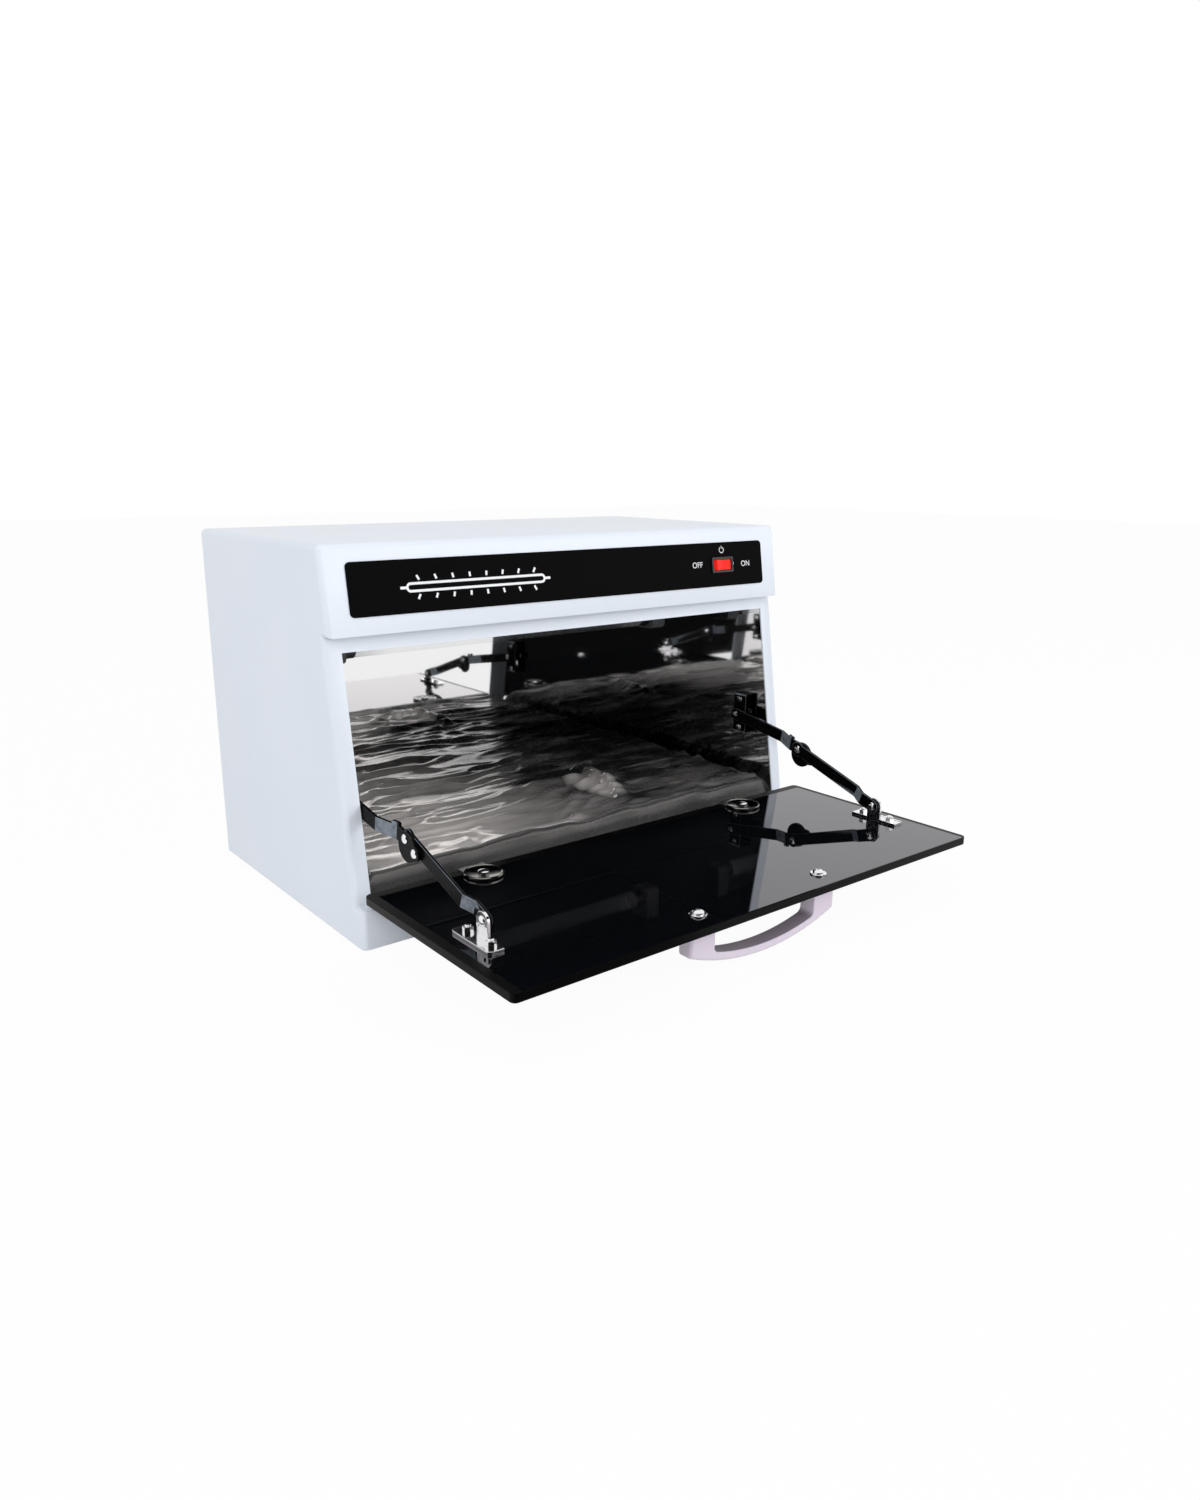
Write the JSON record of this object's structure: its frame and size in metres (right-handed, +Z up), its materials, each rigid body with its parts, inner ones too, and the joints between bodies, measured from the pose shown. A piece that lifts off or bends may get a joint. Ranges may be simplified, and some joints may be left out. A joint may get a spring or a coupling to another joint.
{
  "type": "uv sterilizer",
  "caption": "Bench top ultraviolet sterilizer cabinet with a mirror-bright liner, a wrapped tray and a black glass door that drops open on two folding stays.",
  "frame": {"origin": "on the table, under the middle of the box that the cabinet and its open door fill", "axes": "+X to the user's right, -Y towards the user and the open door, +Z up"},
  "size_m": [0.4, 0.4076, 0.255],
  "materials": {
    "white_paint": "smooth powder coat, semi-gloss, slightly cool white",
    "polished_steel": "mirror-polished stainless steel",
    "zinc_steel": "bright zinc plate",
    "bright_screws": "bright plated",
    "bright_metal": "bright plated",
    "foot_rubber": "matt",
    "black_plastic": "fine grain",
    "white_plastic": "smooth",
    "ballast_paint": "semi-gloss",
    "lamp_glass": "clear quartz-like tube",
    "cap_aluminium": "bright",
    "black_label": "high gloss",
    "red_rocker": "lit from behind",
    "tray_steel": "satin",
    "clear_film": "clear film, wrinkled",
    "black_glass": "polished black glass",
    "pale_handle": "glossy lilac white",
    "black_paint": "glossy black coat"
  },
  "bodies": {
    "cabinet": {"back_panel": "white_paint", "back_panel_screws": "bright_screws", "ballast": "ballast_paint", "ballast_screws": "bright_screws", "base_plate": "white_paint", "cabinet_shell": "white_paint", "floor_rails": "zinc_steel", "foot_screws": "bright_screws", "hinge_base_left": "zinc_steel", "hinge_base_right": "zinc_steel", "hinge_base_screws": "bright_screws", "hinge_pin_left": "bright_metal", "hinge_pin_right": "bright_metal", "inlet_pins": "bright_metal", "inlet_socket": "black_plastic", "label_strip": "black_label", "lamp_end_caps": "cap_aluminium", "lamp_holder_left": "white_plastic", "lamp_holder_right": "white_plastic", "lamp_reflector": "cap_aluminium", "liner_side_left": "polished_steel", "liner_side_right": "polished_steel", "liner_wrap": "polished_steel", "rubber_feet": "foot_rubber", "starter": "white_plastic", "starter_socket": "white_plastic", "stay_wall_bracket_left": "bright_metal", "stay_wall_bracket_right": "bright_metal", "stay_wall_rivets": "bright_screws", "stay_wall_screws": "bright_screws", "switch_housing": "black_plastic", "terminal_block": "white_plastic", "tray": "tray_steel", "tray_film": "clear_film", "uv_lamp_tube": "lamp_glass"},
    "door": {"door_panel": "black_glass", "handle": "pale_handle", "handle_screws": "bright_screws", "handle_washers": "bright_metal", "hinge_leaf_left": "zinc_steel", "hinge_leaf_right": "zinc_steel", "hinge_cup_left": "bright_metal", "hinge_cup_right": "bright_metal", "hinge_backings": "bright_metal", "hinge_cup_screws": "bright_screws", "stay_door_bracket_left": "bright_metal", "stay_door_bracket_right": "bright_metal", "stay_bracket_bolts": "bright_screws", "stay_bracket_nuts": "bright_screws", "stay_door_rivet_left": "bright_screws", "stay_door_rivet_right": "bright_screws"},
    "stay_upper_left": {"stay_upper_arm_left": "black_paint", "stay_elbow_rivets_left": "bright_screws"},
    "stay_upper_right": {"stay_upper_arm_right": "black_paint", "stay_elbow_rivets_right": "bright_screws"},
    "stay_lower_left": {"stay_lower_arm_left": "black_paint", "stay_elbow_stud_left": "bright_screws"},
    "stay_lower_right": {"stay_lower_arm_right": "black_paint", "stay_elbow_stud_right": "bright_screws"},
    "rocker": {"switch_rocker": "red_rocker"}
  },
  "joints": [
    {"name": "door_hinge", "type": "hinge", "parent": "cabinet", "child": "door", "pos_m": [0, -0.03507, 0.0321], "axis": [-1, 0, 0], "range_deg": [0, 98.5]},
    {"name": "power_rocker", "type": "hinge", "parent": "cabinet", "child": "rocker", "pos_m": [0.1375, -0.00057, 0.22582], "axis": [0, -0.1478, -0.989], "range_deg": [0, 16]},
    {"name": "stay_wall_pivot_left", "type": "hinge", "parent": "cabinet", "child": "stay_upper_left", "pos_m": [-0.1858, 0.02088, 0.0945], "axis": [-1, 0, 0], "range_deg": [0, 151.3]},
    {"name": "stay_door_pivot_left", "type": "hinge", "parent": "door", "child": "stay_lower_left", "pos_m": [-0.1729, -0.13878, 0.0533], "axis": [1, 0, 0], "range_deg": [0, 88.81]},
    {"name": "stay_wall_pivot_right", "type": "hinge", "parent": "cabinet", "child": "stay_upper_right", "pos_m": [0.1858, 0.02088, 0.0945], "axis": [-1, 0, 0], "range_deg": [0, 151.3]},
    {"name": "stay_door_pivot_right", "type": "hinge", "parent": "door", "child": "stay_lower_right", "pos_m": [0.1729, -0.13878, 0.0533], "axis": [1, 0, 0], "range_deg": [0, 88.81]}
  ],
  "couplings": [
    {"joint": "stay_wall_pivot_left", "follows": "door_hinge", "ratio": 1.5354},
    {"joint": "stay_door_pivot_left", "follows": "door_hinge", "ratio": 0.9012},
    {"joint": "stay_wall_pivot_right", "follows": "door_hinge", "ratio": 1.5354},
    {"joint": "stay_door_pivot_right", "follows": "door_hinge", "ratio": 0.9012}
  ]
}
